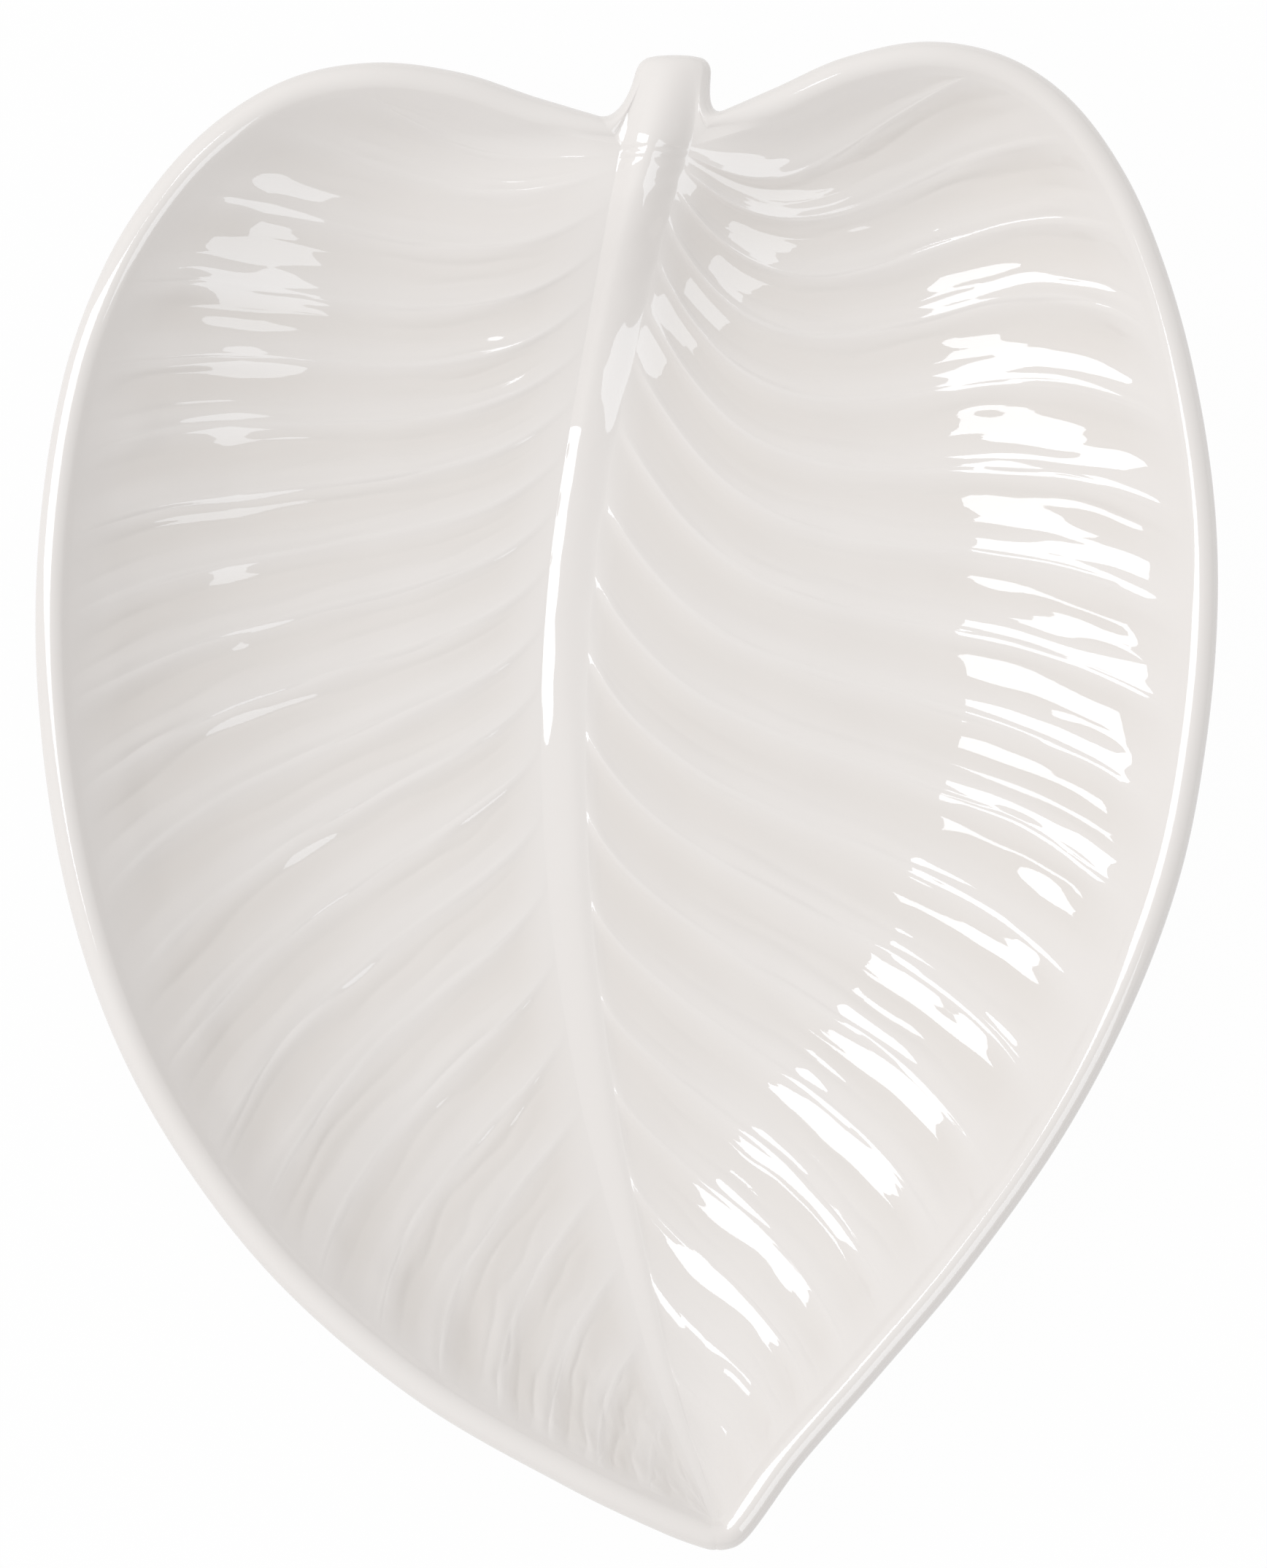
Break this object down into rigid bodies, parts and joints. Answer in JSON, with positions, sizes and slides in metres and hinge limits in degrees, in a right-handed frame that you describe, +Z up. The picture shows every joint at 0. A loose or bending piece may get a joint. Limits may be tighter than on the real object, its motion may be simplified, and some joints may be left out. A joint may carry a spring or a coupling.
{
  "type": "leaf shaped plate",
  "caption": "Leaf shaped serving plate with a rolled lip, a raised midrib, pinched veins, a stub stem and a low ring foot.",
  "frame": {"origin": "on the table under the middle of the leaf's outline", "axes": "+X to the right across the leaf seen from above with the stem away, +Y along the leaf towards the stem, +Z up out of the dish"},
  "size_m": [0.235, 0.3, 0.0401],
  "materials": {
    "dish_glaze": "glossy warm white glaze with faint grey specks",
    "rib_glaze": "glossy warm white glaze, thinner along the crests",
    "lip_glaze": "glossy warm white glaze, thinner along the lip",
    "bare_foot": "wiped unglazed stoneware"
  },
  "bodies": {
    "root": {"left_blade": "dish_glaze", "right_blade": "dish_glaze", "midrib": "rib_glaze", "stem": "rib_glaze", "left_rim": "lip_glaze", "right_rim": "lip_glaze", "foot_ring": "bare_foot"}
  },
  "joints": []
}
